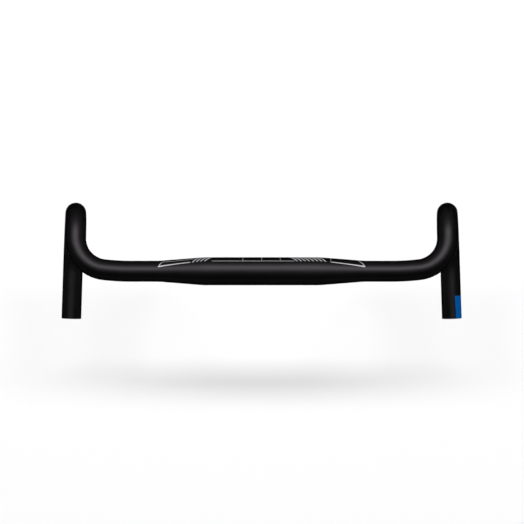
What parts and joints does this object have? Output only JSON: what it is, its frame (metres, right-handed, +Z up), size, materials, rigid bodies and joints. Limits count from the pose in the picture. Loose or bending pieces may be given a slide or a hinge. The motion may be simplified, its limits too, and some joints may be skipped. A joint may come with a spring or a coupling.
{
  "type": "drop handlebar",
  "caption": "Black aluminium drop handlebar for a road bicycle: butted tube with a wide clamp zone, tapers, ramps, leaning compact hooks and open cut ends.",
  "frame": {"origin": "middle of the stem clamp zone, on the tube's axis", "axes": "+X along the clamp zone to the rider's right, +Y forward, +Z up, with the drops level"},
  "size_m": [0.4873, 0.1385, 0.1432],
  "materials": {
    "anodised_tube": "blasted and anodised black, satin",
    "grey_ink": "screen-printed light grey ink, satin",
    "blue_label": "blue adhesive film, satin gloss"
  },
  "bodies": {
    "root": {"handlebar_tube": "anodised_tube", "middle_line_print": "grey_ink", "centring_marks_print": "grey_ink", "left_frame_print": "grey_ink", "right_frame_print": "grey_ink", "left_hatch_print": "grey_ink", "right_hatch_print": "grey_ink", "end_label": "blue_label"}
  },
  "joints": []
}
